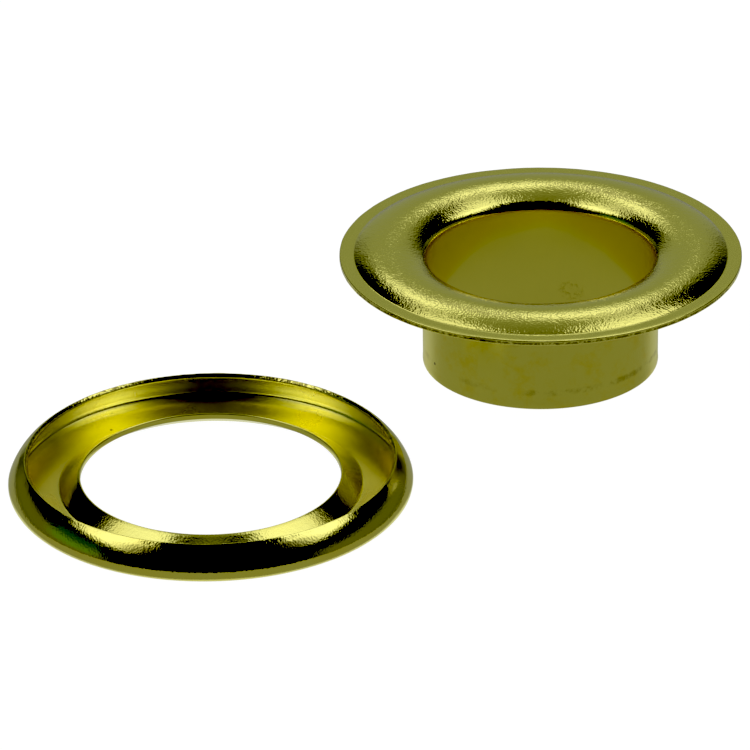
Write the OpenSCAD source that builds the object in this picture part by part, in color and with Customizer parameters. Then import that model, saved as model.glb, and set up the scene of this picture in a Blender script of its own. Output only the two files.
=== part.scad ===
// Two-piece brass grommet as supplied: a flanged grommet standing on its barrel, and its washer
// lying beside it with the hollow side up. The origin is the centre of the barrel's end, +Z up.

/* [Sheet] */
// Thickness of the brass sheet
sheet_t = 0.5; // [0.3:0.05:0.6]
// Rounding of the sheared edges
edge_r = 0.1; // [0.02:0.01:0.12]

/* [Grommet] */
// Bore through the barrel
bore_d = 20; // [16:0.5:26]
// Height of the crown's top above the barrel's end
grommet_h = 11.2; // [8:0.1:16]
// Drop from the crown's top down to the flat brim
brim_drop = 0.85; // [0.5:0.05:1.1]
// Width of the brim outside the crease
brim_w = 1.2; // [0.9:0.05:3]
// Distance from the bore's wall out to the crown's highest ring
crown_reach = 3.5; // [3:0.1:4]
// Radius of the crown's arch
crown_r = 6; // [5:0.1:7.2]
// Radius of the shoulder where the crown turns down into the bore
shoulder_r = 1.1; // [0.8:0.05:1.3]
// Radius of the crease between the crown and the brim
crease_r = 0.3; // [0.1:0.05:0.5]

/* [Washer] */
// How far the washer stays inside the flange's edge, all round
washer_inset = 0.44; // [0:0.02:1]
// Height of the rim's lip above the table
washer_h = 3.25; // [2.8:0.05:4]
// Gap between the barrel and the washer's hole, all round
hole_gap = 0.7; // [0.2:0.05:1]
// Rounding under and around the rim's widest ring
foot_r = 1; // [0.8:0.05:1.2]
// Height above the widest ring, in degrees round the foot, at which the flank takes over
foot_turn = 21; // [10:1:30]
// Radius of the flank that arches from the foot in to the lip
rim_r = 4.4; // [3.9:0.1:6]
// Height of the hole's upper edge, before it is rounded
neck_h = 1.7; // [1.3:0.05:2.2]
// Slope of the neck that rises to the hole
neck_slope = 33; // [20:1:42]
// Radius of the hollow between the neck and the floor
neck_fillet = 0.6; // [0.2:0.05:1]

/* [Layout] */
// Clear space between the flange and the washer, seen from above
lay_gap = 3; // [0.5:0.1:20]
// Direction in which the washer lies, from the grommet's axis
lay_angle = 220.8; // [0:0.1:360]

/* [Hidden] */
$fn = 180;
arc_step = 4; // degrees between the points of a round stretch

bore_r = bore_d / 2;
barrel_r = bore_r + sheet_t;
brim_z = grommet_h - brim_drop;
crown_c = [bore_r + crown_reach, grommet_h - crown_r];
shoulder_x = bore_r + shoulder_r;
shoulder_rise = sqrt(pow(crown_r - shoulder_r, 2) - pow(crown_c.x - shoulder_x, 2));
shoulder_c = [shoulder_x, crown_c.y + shoulder_rise];
shoulder_a = atan2(shoulder_rise, shoulder_x - crown_c.x);
crease_a = asin((brim_z + crease_r - crown_c.y) / (crown_r + crease_r));
crease_c = crown_c + (crown_r + crease_r) * polar(crease_a);
flange_r = crease_c.x + brim_w;

washer_r = flange_r - washer_inset;
hole_r = barrel_r + hole_gap;
neck_up = [sin(neck_slope), cos(neck_slope)];
fillet_x = hole_r - (sheet_t + neck_fillet - neck_h) / tan(neck_slope) + neck_fillet / neck_up.x;
fillet_c = [fillet_x, sheet_t + neck_fillet];
edge_c = [hole_r + edge_r, neck_h - edge_r * (1 + neck_up.x) / neck_up.y];
foot_c = [washer_r - foot_r, foot_r];
rim_c = foot_c - (rim_r - foot_r) * polar(foot_turn);
lip_a = asin((washer_h - rim_c.y) / rim_r);
edge_turn = asin(edge_r / (rim_r - edge_r)); // the part of the flank that the lip's rounding takes
lay = (flange_r + washer_r + lay_gap) * polar(lay_angle);

function polar(a) = [cos(a), sin(a)];
function arc(c, r, from, to) =
    let (n = max(2, ceil(abs(to - from) / arc_step)))
    [for (i = [0 : n]) c + r * polar(from + (to - from) * i / n)];

// The face side runs from the bore out to the brim, and the back side returns one sheet below it.
function grommet_outline() = concat(
    [[bore_r, 0]],
    arc(shoulder_c, shoulder_r, 180, shoulder_a),
    arc(crown_c, crown_r, shoulder_a, 90),
    arc(crown_c, crown_r, 90, crease_a),
    arc(crease_c, crease_r, 180 + crease_a, 270),
    arc([flange_r - edge_r, brim_z - edge_r], edge_r, 90, 0),
    arc([flange_r - edge_r, brim_z - sheet_t + edge_r], edge_r, 0, -90),
    arc(crease_c, crease_r + sheet_t, 270, 180 + crease_a),
    arc(crown_c, crown_r - sheet_t, crease_a, shoulder_a),
    arc(shoulder_c, shoulder_r - sheet_t, shoulder_a, 180),
    arc([barrel_r - edge_r, edge_r], edge_r, 0, -90));

// The hollow side runs from the hole out to the lip, and the face side returns under the rim.
function washer_outline() = concat(
    arc(edge_c, edge_r, 180, 90 - neck_slope),
    arc(fillet_c, neck_fillet, 270 - neck_slope, 270),
    arc(foot_c, foot_r - sheet_t, -90, foot_turn),
    arc(rim_c, rim_r - sheet_t, foot_turn, lip_a),
    arc(rim_c + (rim_r - edge_r) * polar(lip_a - edge_turn), edge_r, lip_a + 90, lip_a - edge_turn),
    arc(rim_c, rim_r, lip_a - edge_turn, foot_turn),
    arc(foot_c, foot_r, foot_turn, -90),
    arc(fillet_c, neck_fillet + sheet_t, 270, 270 - neck_slope),
    [[hole_r, neck_h - sheet_t / neck_up.y]]);

module grommet() {
    color([0.72, 0.62, 0.28])
        rotate_extrude() polygon(grommet_outline());
}

module washer() {
    color([0.76, 0.66, 0.3])
        translate([lay.x, lay.y, 0])
            rotate_extrude() polygon(washer_outline());
}

grommet();
washer();
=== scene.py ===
import math

import bpy
from mathutils import Matrix, Vector


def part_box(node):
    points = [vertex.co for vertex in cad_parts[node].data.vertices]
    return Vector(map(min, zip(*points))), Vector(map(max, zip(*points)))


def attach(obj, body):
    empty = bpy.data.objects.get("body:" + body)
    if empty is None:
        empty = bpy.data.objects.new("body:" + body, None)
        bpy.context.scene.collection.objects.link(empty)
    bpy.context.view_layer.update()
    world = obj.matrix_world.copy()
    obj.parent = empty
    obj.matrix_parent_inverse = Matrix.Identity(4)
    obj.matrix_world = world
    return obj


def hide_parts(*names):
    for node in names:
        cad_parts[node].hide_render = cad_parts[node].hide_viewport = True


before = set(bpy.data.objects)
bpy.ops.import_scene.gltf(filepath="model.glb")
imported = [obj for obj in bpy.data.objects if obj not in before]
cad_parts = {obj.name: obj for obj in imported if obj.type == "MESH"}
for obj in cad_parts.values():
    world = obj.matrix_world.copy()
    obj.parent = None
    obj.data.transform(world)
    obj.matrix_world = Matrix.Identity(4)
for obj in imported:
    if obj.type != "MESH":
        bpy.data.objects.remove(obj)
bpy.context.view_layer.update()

mm = 0.001


# small helpers for outlines, in millimetres: x runs out from the axis and y is the height
def polar(angle):
    return Vector((math.cos(math.radians(angle)), math.sin(math.radians(angle))))


def bend(centre, radius, start, end, pieces):
    return [centre + radius * polar(start + (end - start) * i / pieces) for i in range(pieces + 1)]


def joinRuns(runs, longest):
    # the runs in order, with each straight stretch between them cut into short, even pieces
    points = list(runs[0])
    for run in runs[1:] + [runs[0][:1]]:
        start, end = points[-1], run[0]
        cuts = math.ceil((end - start).length / longest)
        points += [start.lerp(end, i / cuts) for i in range(1, cuts)]
        points += [p for p in run if (p - points[-1]).length > 1e-4]
    return points[:-1]


def deselectEverything():
    if bpy.context.object and bpy.context.object.mode != "OBJECT":
        bpy.ops.object.mode_set(mode="OBJECT")
    bpy.ops.object.select_all(action="DESELECT")


def turnOnLathe(name, points, axisAt, steps):
    # a plane is cut down to one corner, drawn out along the outline, then spun about its axis
    deselectEverything()
    first = Vector((axisAt.x + points[0].x * mm, axisAt.y, points[0].y * mm))
    bpy.ops.mesh.primitive_plane_add(size=mm, location=first)
    piece = bpy.context.object
    piece.name = name
    bpy.ops.object.transform_apply(location=True, rotation=True, scale=True)
    bpy.ops.object.mode_set(mode="EDIT")
    bpy.ops.mesh.select_all(action="SELECT")
    bpy.ops.mesh.merge(type="CENTER")
    for here, there in zip(points, points[1:]):
        step = ((there.x - here.x) * mm, 0, (there.y - here.y) * mm)
        bpy.ops.mesh.extrude_vertices_move(TRANSFORM_OT_translate={"value": step})
    bpy.ops.mesh.select_all(action="SELECT")
    bpy.ops.mesh.edge_face_add()
    bpy.ops.mesh.delete(type="ONLY_FACE")
    bpy.ops.mesh.select_all(action="SELECT")
    bpy.ops.mesh.spin(steps=steps, angle=2 * math.pi, center=(axisAt.x, axisAt.y, 0), axis=(0, 0, 1))
    bpy.ops.mesh.select_all(action="SELECT")
    bpy.ops.mesh.remove_doubles(threshold=1e-7)
    bpy.ops.mesh.normals_make_consistent(inside=False)
    bpy.ops.object.mode_set(mode="OBJECT")
    bpy.ops.object.shade_smooth()
    return piece


def wearSurface(piece, groupName, chosen, wear):
    # cloud-shaped hollows pressed inward from the true shape, never out of it
    group = piece.vertex_groups.new(name=groupName)
    group.add([v.index for v in piece.data.vertices if chosen(v.co)], 1, "REPLACE")
    clouds = bpy.data.textures.new(groupName, "CLOUDS")
    clouds.noise_scale = wear["coarseness"] * mm
    clouds.noise_depth = 1
    deselectEverything()
    piece.select_set(True)
    bpy.context.view_layer.objects.active = piece
    press = piece.modifiers.new(groupName, "DISPLACE")
    press.texture = clouds
    press.texture_coords = "LOCAL"
    press.vertex_group = group.name
    press.strength = wear["depth"] * mm
    press.mid_level = 1
    bpy.ops.object.modifier_apply(modifier=press.name)


# the grommet: a flange with a domed crown on a straight barrel
grommetSize = {
    "sheet": 0.5, "boreRadius": 10, "brimDrop": 0.85, "crownReach": 3.5, "crownRadius": 6,
    "shoulderRadius": 1.1, "creaseRadius": 0.3, "edgeRound": 0.1, "steps": 400, "longest": 0.45,
    "trueEnd": 0.2, "swell": {"coarseness": 5, "depth": 0.04},
    "burrWidth": 0.15, "burr": {"coarseness": 1.1, "depth": 0.025},
}


def grommetOutline(size, flangeRadius, top):
    bore, sheet, edge = size["boreRadius"], size["sheet"], size["edgeRound"]
    brim = top - size["brimDrop"]
    crownRadius, shoulder, crease = size["crownRadius"], size["shoulderRadius"], size["creaseRadius"]
    crown = Vector((bore + size["crownReach"], top - crownRadius))
    rise = math.sqrt((crownRadius - shoulder) ** 2 - (crown.x - bore - shoulder) ** 2)
    shoulderAt = Vector((bore + shoulder, crown.y + rise))
    shoulderTurn = math.degrees(math.atan2(rise, shoulderAt.x - crown.x))
    creaseTurn = math.degrees(math.asin((brim + crease - crown.y) / (crownRadius + crease)))
    creaseAt = crown + (crownRadius + crease) * polar(creaseTurn)
    return joinRuns([
        [Vector((bore, 0))],
        bend(shoulderAt, shoulder, 180, shoulderTurn, 12),
        bend(crown, crownRadius, shoulderTurn, creaseTurn, 32),
        bend(creaseAt, crease, 180 + creaseTurn, 270, 8),
        bend(Vector((flangeRadius - edge, brim - edge)), edge, 90, 0, 4),
        bend(Vector((flangeRadius - edge, brim - sheet + edge)), edge, 0, -90, 4),
        bend(creaseAt, crease + sheet, 270, 180 + creaseTurn, 8),
        bend(crown, crownRadius - sheet, creaseTurn, shoulderTurn, 16),
        bend(shoulderAt, shoulder - sheet, shoulderTurn, 180, 6),
        bend(Vector((bore + sheet - edge, edge)), edge, 0, -90, 4),
    ], size["longest"])


def makeGrommet():
    low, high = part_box("grommet")
    outline = grommetOutline(grommetSize, (high.x - low.x) / 2 / mm, high.z / mm)
    piece = turnOnLathe("grommetShell", outline, (low + high) / 2, grommetSize["steps"])
    trueEnd = grommetSize["trueEnd"] * mm
    burrStart = (high.x - low.x) / 2 - grommetSize["burrWidth"] * mm
    wearSurface(piece, "grommetSwell", lambda at: at.z > trueEnd, grommetSize["swell"])
    wearSurface(piece, "flangeBurr", lambda at: at.to_2d().length > burrStart, grommetSize["burr"])
    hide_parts("grommet")
    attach(piece, "grommet")
    return piece


# the washer: a ring with a raised neck at its hole and a rolled rim, lying hollow side up
washerSize = {
    "sheet": 0.5, "holeRadius": 11.2, "neckHeight": 1.7, "neckSlope": 33, "neckFillet": 0.6,
    "footRadius": 1, "footTurn": 21, "rimRadius": 4.4, "rimHeight": 3.25, "edgeRound": 0.1,
    "steps": 400, "longest": 0.3,
    "trueFoot": 0.2, "swell": {"coarseness": 5, "depth": 0.025},
    "lipDepth": 0.3, "lipReach": 2.2, "burr": {"coarseness": 1.2, "depth": 0.04},
}


def washerOutline(size, radius):
    sheet, edge, hole = size["sheet"], size["edgeRound"], size["holeRadius"]
    slope, fillet, foot = size["neckSlope"], size["neckFillet"], size["footRadius"]
    rim, footTurn = size["rimRadius"], size["footTurn"]
    up = polar(90 - slope)
    filletX = hole - (sheet + fillet - size["neckHeight"]) / math.tan(math.radians(slope)) + fillet / up.x
    filletAt = Vector((filletX, sheet + fillet))
    edgeAt = Vector((hole + edge, size["neckHeight"] - edge * (1 + up.x) / up.y))
    footAt = Vector((radius - foot, foot))
    rimAt = footAt - (rim - foot) * polar(footTurn)
    lipTurn = math.degrees(math.asin((size["rimHeight"] - rimAt.y) / rim))
    edgeTurn = math.degrees(math.asin(edge / (rim - edge)))
    return joinRuns([
        bend(edgeAt, edge, 180, 90 - slope, 4),
        bend(filletAt, fillet, 270 - slope, 270, 10),
        bend(footAt, foot - sheet, -90, footTurn, 12),
        bend(rimAt, rim - sheet, footTurn, lipTurn, 10),
        bend(rimAt + (rim - edge) * polar(lipTurn - edgeTurn), edge, lipTurn + 90, lipTurn - edgeTurn, 4),
        bend(rimAt, rim, lipTurn - edgeTurn, footTurn, 14),
        bend(footAt, foot, footTurn, -90, 20),
        bend(filletAt, fillet + sheet, 270, 270 - slope, 10),
        [Vector((hole, size["neckHeight"] - sheet / up.y))],
    ], size["longest"])


def makeWasher():
    low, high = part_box("washer")
    outline = washerOutline(washerSize, (high.x - low.x) / 2 / mm)
    centre = (low + high) / 2
    piece = turnOnLathe("washerShell", outline, centre, washerSize["steps"])
    trueFoot = washerSize["trueFoot"] * mm
    lipBottom = (washerSize["rimHeight"] - washerSize["lipDepth"]) * mm
    lipStart = (centre.x - low.x) - washerSize["lipReach"] * mm
    wearSurface(piece, "washerSwell", lambda at: at.z > trueFoot, washerSize["swell"])
    wearSurface(
        piece, "lipBurr", lambda at: at.z > lipBottom and (at - centre).to_2d().length > lipStart,
        washerSize["burr"])
    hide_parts("washer")
    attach(piece, "washer")
    return piece


# shader maths: a Socket holds a node's output, and an expression on Sockets adds Math nodes
class Socket:
    def __init__(self, tree, link):
        self.tree, self.link = tree, link

    def maths(self, operation, *others, flip=False):
        values = [self, *others]
        return self.tree.add("ShaderNodeMath", {"operation": operation}, values[::-1] if flip else values)

    def __add__(self, other):
        return self.maths("ADD", other)

    def __radd__(self, other):
        return self.maths("ADD", other)

    def __sub__(self, other):
        return self.maths("SUBTRACT", other)

    def __rsub__(self, other):
        return self.maths("SUBTRACT", other, flip=True)

    def __mul__(self, other):
        return self.maths("MULTIPLY", other)

    def __rmul__(self, other):
        return self.maths("MULTIPLY", other)

    def __truediv__(self, other):
        return self.maths("DIVIDE", other)

    def __abs__(self):
        return self.maths("ABSOLUTE")

    def root(self):
        return self.maths("SQRT")

    def atLeast(self, other):
        return self.maths("MAXIMUM", other)

    def atMost(self, other):
        return self.maths("MINIMUM", other)

    def ramp(self, start, end):
        # 0 at start, 1 at end, smooth between
        settings = {"interpolation_type": "SMOOTHSTEP"}
        if start < end:
            return self.tree.add("ShaderNodeMapRange", settings, [self, start, end, 0, 1])
        return self.tree.add("ShaderNodeMapRange", settings, [self, end, start, 1, 0])

    def window(self, middle, half, soft):
        # 1 within half of the middle, 0 outside, with an edge as wide as soft
        return abs(self - middle).ramp(half + soft / 2, half - soft / 2)


class Tree:
    def __init__(self, nodeTree):
        self.nodeTree = nodeTree
        nodeTree.nodes.clear()

    def add(self, kind, settings, values, output=0):
        node = self.nodeTree.nodes.new(kind)
        for name, value in settings.items():
            if name == "stops":
                self.setStops(node.color_ramp.elements, value)
            else:
                setattr(node, name, value)
        pairs = values.items() if isinstance(values, dict) else enumerate(values)
        for key, value in pairs:
            if isinstance(value, Socket):
                self.nodeTree.links.new(value.link, node.inputs[key])
            else:
                node.inputs[key].default_value = value
        return Socket(self, node.outputs[output]) if node.outputs else None

    def setStops(self, elements, stops):
        while len(elements) < len(stops):
            elements.new(1)
        for element, (place, colour) in zip(elements, stops):
            element.position, element.color = place, colour

    def parts(self, vector):
        first = self.add("ShaderNodeSeparateXYZ", {}, [vector])
        return [Socket(self, part) for part in first.link.node.outputs]

    def colour(self, factor, first, second):
        # the Mix node's colour inputs are numbers 6 and 7, and its colour output is number 2
        return self.add("ShaderNodeMix", {"data_type": "RGBA"}, {0: factor, 6: first, 7: second}, 2)

    def noise(self, place, scale, detail, roughness=0.5):
        values = {"Vector": place, "Scale": scale, "Detail": detail, "Roughness": roughness}
        return self.add("ShaderNodeTexNoise", {}, values)


# brass: the grain is a bump, and roughness and tone change over each region; lengths are in millimetres
brassLook = {
    "clean": (0.87, 0.815, 0.235, 1), "warm": (0.87, 0.73, 0.13, 1), "speck": (0.10, 0.08, 0.03, 1),
    "swellScale": 1500,
}


def startBrass(name):
    material = bpy.data.materials.new(name)
    material.use_nodes = True
    tree = Tree(material.node_tree)
    return material, tree, tree.add("ShaderNodeTexCoord", {}, [], "Object")


def finishBrass(piece, tree, material, colour, rough, height):
    bump = tree.add("ShaderNodeBump", {}, {"Strength": 1, "Distance": mm, "Height": height})
    shader = tree.add("ShaderNodeBsdfPrincipled", {}, {
        "Base Color": colour, "Metallic": 1, "Roughness": rough, "Normal": bump})
    tree.add("ShaderNodeOutputMaterial", {}, [shader])
    piece.data.materials.clear()
    piece.data.materials.append(material)


def ringPlace(tree, place, node):
    # distance from the piece's axis, height above the table and distance along Y, in millimetres
    low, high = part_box(node)
    centre = (low + high) / 2
    x, y, z = tree.parts(place)
    x, y = x - centre.x, y - centre.y
    return (x * x + y * y).root() / mm, z / mm, y / mm


def fromRing(radius, height, ringRadius, ringHeight):
    # distance from a ring about the axis
    across, up = radius - ringRadius, height - ringHeight
    return (across * across + up * up).root()


def grainHeight(tree, place, look):
    # fine crystalline grain over a softer swell
    fine = tree.noise(place, look["grainScale"], 0.6)
    swell = tree.noise(place, brassLook["swellScale"], 1)
    return fine + look["grainSwell"] * swell


def darkSpecks(tree, place, look):
    # one speck in some of the cells, its size being a share of the cell's
    values = {"Vector": place, "Scale": look["speckScale"]}
    size, share = look["speckSize"], look["speckShare"]
    fromMiddle = tree.add("ShaderNodeTexVoronoi", {}, values)
    chance = tree.parts(tree.add("ShaderNodeTexVoronoi", {}, values, "Color"))[0]
    return fromMiddle.ramp(size, size * 0.6) * chance.ramp(share + 0.01, share - 0.01)


grommetLook = {
    "crownGrain": 0.022, "plainGrain": 0.003, "wallGrain": 0.006, "pitGrain": 0.018,
    "grainScale": 6000, "grainSwell": 0.9,
    "crownRough": 0.09, "brimRough": 0.13, "wallRough": 0.28, "roughDrift": 0.06,
    "wideScale": 160, "patchScale": 420, "fleckScale": 3000,
    "speckScale": 420, "speckSize": 0.07, "speckShare": 0.16,
    # a place is where something begins and is full, or its middle, half width and soft edge
    "faceDepth": (-0.3, -0.1), "crownRing": (13.4, 3.2, 0.7),
    "wallTop": (9.9, 9.3), "wallReach": (10.9, 10.7),
    "insideReach": (0.3, 0.2), "insideTop": (10.2, 9.8), "outsideReach": (-0.2, -0.1),
    "shearReach": (-0.15, -0.08), "shearBand": (-0.28, 0.1, 0.1), "shearTone": 0.8,
    "boreReflectionWarmth": 0.08, "boreReflectionHeight": 8.4, "boreReflectionSlope": 0.85, "boreReflectionEdge": (-0.7, 0.9),
    "stainWarmth": 0.55, "underFlangeBand": (8.6, 0.7, 0.6),
    "scuffBand": (1.6, 0.25, 0.3), "scuffShare": 0.9, "markTone": 0.35,
    "pitAt": (3.1, 1.8), "pitReach": (1.5, 0.7), "pitBehind": (0, 4), "pitTone": 0.05,
}


def paintGrommet(piece, look):
    material, tree, place = startBrass("brassGrommet")
    radius, height, along = ringPlace(tree, place, "grommet")
    bore, sheet, crownRadius = grommetSize["boreRadius"], grommetSize["sheet"], grommetSize["crownRadius"]
    corner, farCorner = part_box("grommet")
    top, flange = farCorner.z / mm, (farCorner.x - corner.x) / 2 / mm
    brim = top - grommetSize["brimDrop"]

    # regions
    fromCrown = fromRing(radius, height, bore + grommetSize["crownReach"], top - crownRadius)
    face = (fromCrown - crownRadius).ramp(*look["faceDepth"])
    low = height.ramp(*look["wallTop"])
    crown = face * radius.window(*look["crownRing"]) * (1 - low)
    wall = low * radius.ramp(*look["wallReach"])
    inside = (radius - bore).ramp(*look["insideReach"]) * height.ramp(*look["insideTop"])
    outside = (radius - bore - sheet).ramp(*look["outsideReach"]) * wall
    shear = (radius - flange).ramp(*look["shearReach"]) * (height - brim).window(*look["shearBand"])

    # patterns
    wide = tree.noise(place, look["wideScale"], 4)
    patchNoise = tree.noise(place, look["patchScale"], 5, 0.7)
    fleck = tree.noise(place, look["fleckScale"], 3, 0.7)
    specks = darkSpecks(tree, place, look)

    # a warm tone painted in the top of the bore and down its two sides, a painted reflection of the brass's
    # light turned back inside the bore, with a little of it over the whole bore
    paintedBoreReflection = height - look["boreReflectionHeight"] + look["boreReflectionSlope"] * (bore - abs(along)) + 2 * (wide - 0.5)
    boreReflectionWarmth = look["boreReflectionWarmth"] + (1 - look["boreReflectionWarmth"]) * paintedBoreReflection.ramp(*look["boreReflectionEdge"])
    # the painted reflection in the bore joins the real warm stains on the barrel's outside
    warmToneAndReflection = inside * boreReflectionWarmth + outside * patchNoise.ramp(0.45, 0.7) * look["stainWarmth"]

    # a scuffed ring near the barrel's end, and darker patches in a band just under the flange
    scuffAndFlangeBands = height.window(*look["scuffBand"]) * look["scuffShare"]
    scuffAndFlangeBands = scuffAndFlangeBands + height.window(*look["underFlangeBand"]) * patchNoise.ramp(0.45, 0.6)
    marks = outside * scuffAndFlangeBands * patchNoise.ramp(0.42, 0.62) * wide.ramp(0.36, 0.52)

    # one pitted patch low in the back of the bore
    x, y, z = tree.parts(place)
    pitX, pitZ = look["pitAt"]
    pitAcross, pitUp = x / mm - pitX, z / mm - pitZ
    fromPit = (pitAcross * pitAcross + pitUp * pitUp * 1.5).root()
    patch = fromPit.ramp(*look["pitReach"]) * (y / mm).ramp(*look["pitBehind"])
    pits = inside * patch * fleck.ramp(0.52, 0.6)

    dark = specks * wall + look["markTone"] * marks + look["pitTone"] * pits
    colour = tree.colour(warmToneAndReflection.atMost(1), brassLook["clean"], brassLook["warm"])
    colour = tree.colour(dark.atMost(1), colour, brassLook["speck"])
    colour = tree.colour(shear * fleck.ramp(0.38, 0.55) * look["shearTone"], colour, brassLook["speck"])
    rough = look["brimRough"] + (look["crownRough"] - look["brimRough"]) * crown
    rough = rough + (look["wallRough"] - look["brimRough"]) * wall + look["roughDrift"] * wide
    depth = look["plainGrain"] + (look["crownGrain"] - look["plainGrain"]) * crown
    depth = depth + (look["wallGrain"] - look["plainGrain"]) * wall + look["pitGrain"] * pits
    finishBrass(piece, tree, material, colour, rough, grainHeight(tree, place, look) * depth)


washerLook = {
    "grain": 0.010, "hollowGrain": 0.005, "lipGrain": 0.026, "grainScale": 5600, "grainSwell": 0.5,
    "rough": 0.08, "hollowRough": 0.25, "neckRough": 0.13, "roughDrift": 0.04,
    "wideScale": 200, "fleckScale": 2600,
    "speckScale": 500, "speckSize": 0.08, "speckShare": 0.1, "speckTone": 0.8,
    "hollowDepth": (-0.2, -0.35), "neckReach": (13.6, 12.8),
    "lipHeight": (2.85, 3.0), "lipDepth": (-0.02, -0.1), "lipTone": 0.75,
    "sideReflectionReach": (9, 3), "sideReflectionWarmth": 0.6, "driftWarmth": 0.4,
}


def paintWasher(piece, look):
    material, tree, place = startBrass("brassWasher")
    radius, height, along = ringPlace(tree, place, "washer")
    low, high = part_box("washer")
    foot, rim, footTurn = washerSize["footRadius"], washerSize["rimRadius"], washerSize["footTurn"]
    rimX = (high.x - low.x) / 2 / mm - foot - (rim - foot) * polar(footTurn).x
    rimZ = foot - (rim - foot) * polar(footTurn).y

    # regions: the hollow side, the neck, the lip's sheared edge, and the hollow's left and right walls, where
    # a warm reflection is painted
    fromFlank = fromRing(radius, height, rimX, rimZ) - rim
    neck = radius.ramp(*look["neckReach"])
    hollow = fromFlank.ramp(*look["hollowDepth"]) * (1 - neck)
    lip = height.ramp(*look["lipHeight"]) * fromFlank.ramp(*look["lipDepth"])
    paintedSideReflection = hollow * abs(along).ramp(*look["sideReflectionReach"])

    # patterns
    wide = tree.noise(place, look["wideScale"], 4)
    fleck = tree.noise(place, look["fleckScale"], 3, 0.7)
    specks = darkSpecks(tree, place, look)

    # a painted warm reflection on the hollow's left and right walls, over a warm tone that drifts at random
    warmToneAndReflection = wide.ramp(0.4, 0.75) * look["driftWarmth"] + paintedSideReflection * look["sideReflectionWarmth"]
    dark = specks * look["speckTone"] + lip * fleck.ramp(0.45, 0.6) * look["lipTone"]
    colour = tree.colour(warmToneAndReflection.atMost(1), brassLook["clean"], brassLook["warm"])
    colour = tree.colour(dark.atMost(1), colour, brassLook["speck"])
    rough = look["rough"] + (look["hollowRough"] - look["rough"]) * hollow
    rough = rough + (look["neckRough"] - look["rough"]) * neck + look["roughDrift"] * wide
    depth = look["grain"] + (look["hollowGrain"] - look["grain"]) * hollow
    depth = depth + (look["lipGrain"] - look["grain"]) * lip
    finishBrass(piece, tree, material, colour, rough, grainHeight(tree, place, look) * depth)


# the camera looks along +Y and down, with a slight roll
cameraSize = {
    "lookAt": (-14.777, -3.393, 0), "distance": 611.7, "elevation": 26.659, "roll": -0.566,
    "lens": 330.5, "sensor": 36,
}


def makeCamera(size):
    tilt, roll = math.radians(size["elevation"]), math.radians(size["roll"])
    forward = Vector((0, math.cos(tilt), -math.sin(tilt)))
    level, upright = Vector((1, 0, 0)), Vector((0, math.sin(tilt), math.cos(tilt)))
    right = math.cos(roll) * level + math.sin(roll) * upright
    up = -math.sin(roll) * level + math.cos(roll) * upright
    place = (Vector(size["lookAt"]) - size["distance"] * forward) * mm
    data = bpy.data.cameras.new("camera")
    data.lens, data.sensor_width = size["lens"], size["sensor"]
    data.clip_start, data.clip_end = 0.05, 20
    camera = bpy.data.objects.new("camera", data)
    bpy.context.scene.collection.objects.link(camera)
    camera.matrix_world = Matrix.Translation(place) @ Matrix((right, up, -forward)).transposed().to_4x4()
    bpy.context.scene.camera = camera


# the studio: a pale floor, grey boards at the back and overhead, a long arched light on either side,
# a small green card at the left and a dark camera side
studioLook = {
    "floorSpread": 3, "floorTone": (0.12, 0.12, 0.12, 1), "floorGlow": 0.99, "floorDrop": 0.00002,
    "overhead": (0.20, 0.32), "back": 0.31, "table": 0.295, "farTable": 0.75, "lowGlow": 0.15,
    "blackLevel": 0.04, "soften": 9, "lightTurn": 6,
    "boardHue": (0.92, 1.0, 0.86, 1), "tableHue": (0.96, 1.0, 0.9, 1), "lightHue": (0.97, 1.0, 1.08, 1),
    "cardHue": (0.55, 1.0, 0.8, 1), "cardTone": 0.085, "fill": 2.2, "fillHue": (0.92, 1.0, 1.8, 1),
    # places in degrees: a turn is how far round from the back, and a fall how far down from overhead
    "overheadFall": (60, 40), "overheadTurn": (70, 110), "overheadTop": (2, 12), "overheadBlend": (8, 42),
    "backTurn": (0, 22, 16), "backFall": (44, 54), "tableFall": (92, 98),
    "farTableTurn": (0, 45, 24), "farTableFall": (108, 122),
    "lowGlowTurn": (75, 45, 20), "lowGlowFall": (84, 10, 10),
    "cardTurn": (-98, 18, 14), "cardFall": (73, 12, 12),
    "fillBack": (80, 116), "fillFront": (150, 112), "fillTop": (12, 36), "fillFoot": (84, 62),
    # for each turn, the light's upper edge and lower edge as falls, and its strength
    "lightShape": [
        (0, 37, 54, 0.34), (3, 37, 54, 0.40), (6, 37, 54, 1.12), (14, 36, 54, 1.20), (20, 36, 50, 0.80),
        (25, 33, 46, 0.50), (30, 28, 41, 0.66), (38, 23, 38, 0.85), (45, 18, 37, 0.90), (60, 12, 45, 1.00),
        (75, 13, 47, 1.15), (90, 17, 52, 1.32), (105, 21, 54, 1.30), (113, 25, 56, 1.00),
        (120, 28, 56, 0.55), (127, 31, 55, 0.20), (135, 34, 52, 0.02),
    ],
}


def makeFloor(look):
    deselectEverything()
    bpy.ops.mesh.primitive_plane_add(size=look["floorSpread"], location=(0, 0, -look["floorDrop"]))
    floor = bpy.context.object
    floor.name = "floor"
    material = bpy.data.materials.new("floorPaint")
    material.use_nodes = True
    tree = Tree(material.node_tree)
    shader = tree.add("ShaderNodeBsdfPrincipled", {}, {
        "Base Color": look["floorTone"], "Roughness": 0.9, "Specular IOR Level": 0.0,
        "Emission Color": (1, 1, 1, 1), "Emission Strength": look["floorGlow"]})
    tree.add("ShaderNodeOutputMaterial", {}, [shader])
    floor.data.materials.append(material)
    floor.visible_glossy = False


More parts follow.
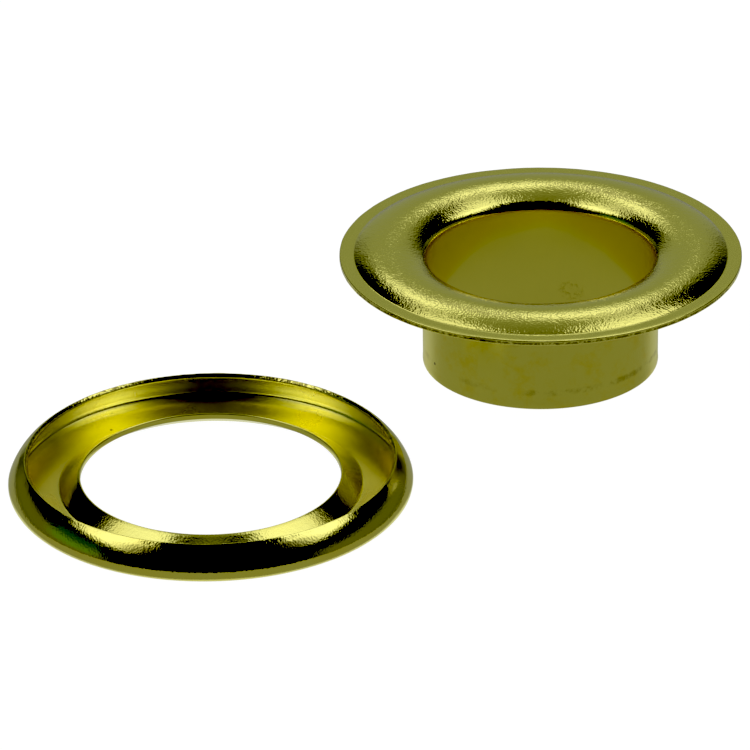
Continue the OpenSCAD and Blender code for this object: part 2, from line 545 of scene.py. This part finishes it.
def makeStudio(look):
    world = bpy.data.worlds.new("studio")
    scene = bpy.context.scene
    scene.world = world
    world.use_nodes = True
    tree = Tree(world.node_tree)
    way = tree.add("ShaderNodeTexCoord", {}, [], "Generated")
    x, y, z = tree.parts(way)
    degrees = 180 / math.pi
    turn = tree.add("ShaderNodeMath", {"operation": "ARCTAN2"}, [x, y]) * degrees  # 0 at the back
    fall = tree.add("ShaderNodeMath", {"operation": "ARCCOSINE"}, [z]) * degrees  # 0 overhead
    aside = abs(turn)

    # the two side lights share one shape, read from a ramp that goes half round
    turned = abs(turn + look["lightTurn"])
    stops = [(t / 180, (start / 90, end / 90, strength, 1)) for t, start, end, strength in look["lightShape"]]
    shape = tree.add("ShaderNodeValToRGB", {"stops": stops}, [turned / 180])
    upper, lower, strength = tree.parts(shape)
    soft = look["soften"] / 2
    above = (fall - upper * 90).ramp(-soft, soft)
    below = (fall - lower * 90).ramp(soft, -soft)
    light = above * below

    # boards, table and card, each over its own directions
    front = aside.ramp(*look["overheadTurn"]) * fall.ramp(*look["overheadTop"])
    overhead = (1 - above) * fall.ramp(*look["overheadFall"]) * (1 - front)
    backBoard = aside.window(*look["backTurn"]) * fall.ramp(*look["backFall"]) * (1 - light)
    table = fall.ramp(*look["tableFall"])
    farTable = aside.window(*look["farTableTurn"]) * fall.ramp(*look["farTableFall"])
    lowGlow = aside.window(*look["lowGlowTurn"]) * fall.window(*look["lowGlowFall"])
    card = turn.window(*look["cardTurn"]) * fall.window(*look["cardFall"]) * (1 - light)
    highTone, lowTone = look["overhead"]
    ceiling = highTone + (lowTone - highTone) * fall.ramp(*look["overheadBlend"])
    tone = light * strength + ceiling * overhead
    tone = tone + look["back"] * backBoard * (1 - table) + look["lowGlow"] * lowGlow * (1 - table)
    tableTone = look["table"] + (look["farTable"] - look["table"]) * farTable
    tone = tone + look["cardTone"] * card + table * tableTone

    # light that the brass has already turned back twice also finds the wide fill at the two sides
    deep = tree.add("ShaderNodeLightPath", {}, [], "Ray Depth").ramp(2.4, 2.6)
    fillRound = aside.ramp(*look["fillBack"]) * aside.ramp(*look["fillFront"])
    fillHeight = fall.ramp(*look["fillTop"]) * fall.ramp(*look["fillFoot"])
    tone = tone.atLeast(look["fill"] * fillRound * fillHeight * deep)

    hue = tree.colour(table, look["boardHue"], look["tableHue"])
    hue = tree.colour(light, hue, look["lightHue"])
    hue = tree.colour(card, hue, look["cardHue"])
    hue = tree.colour(deep, hue, look["fillHue"])
    paint = tree.add("ShaderNodeBackground", {}, {"Color": hue, "Strength": tone})
    pale = tree.add("ShaderNodeBackground", {}, {"Color": (1, 1, 1, 1), "Strength": 1.0})
    seen = tree.add("ShaderNodeLightPath", {}, [], "Is Camera Ray")
    mixed = tree.add("ShaderNodeMixShader", {}, [seen, paint, pale])
    tree.add("ShaderNodeOutputWorld", {}, [mixed])
    view = scene.view_settings
    view.view_transform = "Standard"
    view.use_curve_mapping = True
    view.curve_mapping.black_level = [look["blackLevel"]] * 3
    view.curve_mapping.update()


makeCamera(cameraSize)
makeFloor(studioLook)
makeStudio(studioLook)
grommetPiece = makeGrommet()
print("grommet turned:", len(grommetPiece.data.polygons), "faces")
washerPiece = makeWasher()
print("washer turned:", len(washerPiece.data.polygons), "faces")

paintGrommet(grommetPiece, grommetLook)
paintWasher(washerPiece, washerLook)
print("brass and studio ready")
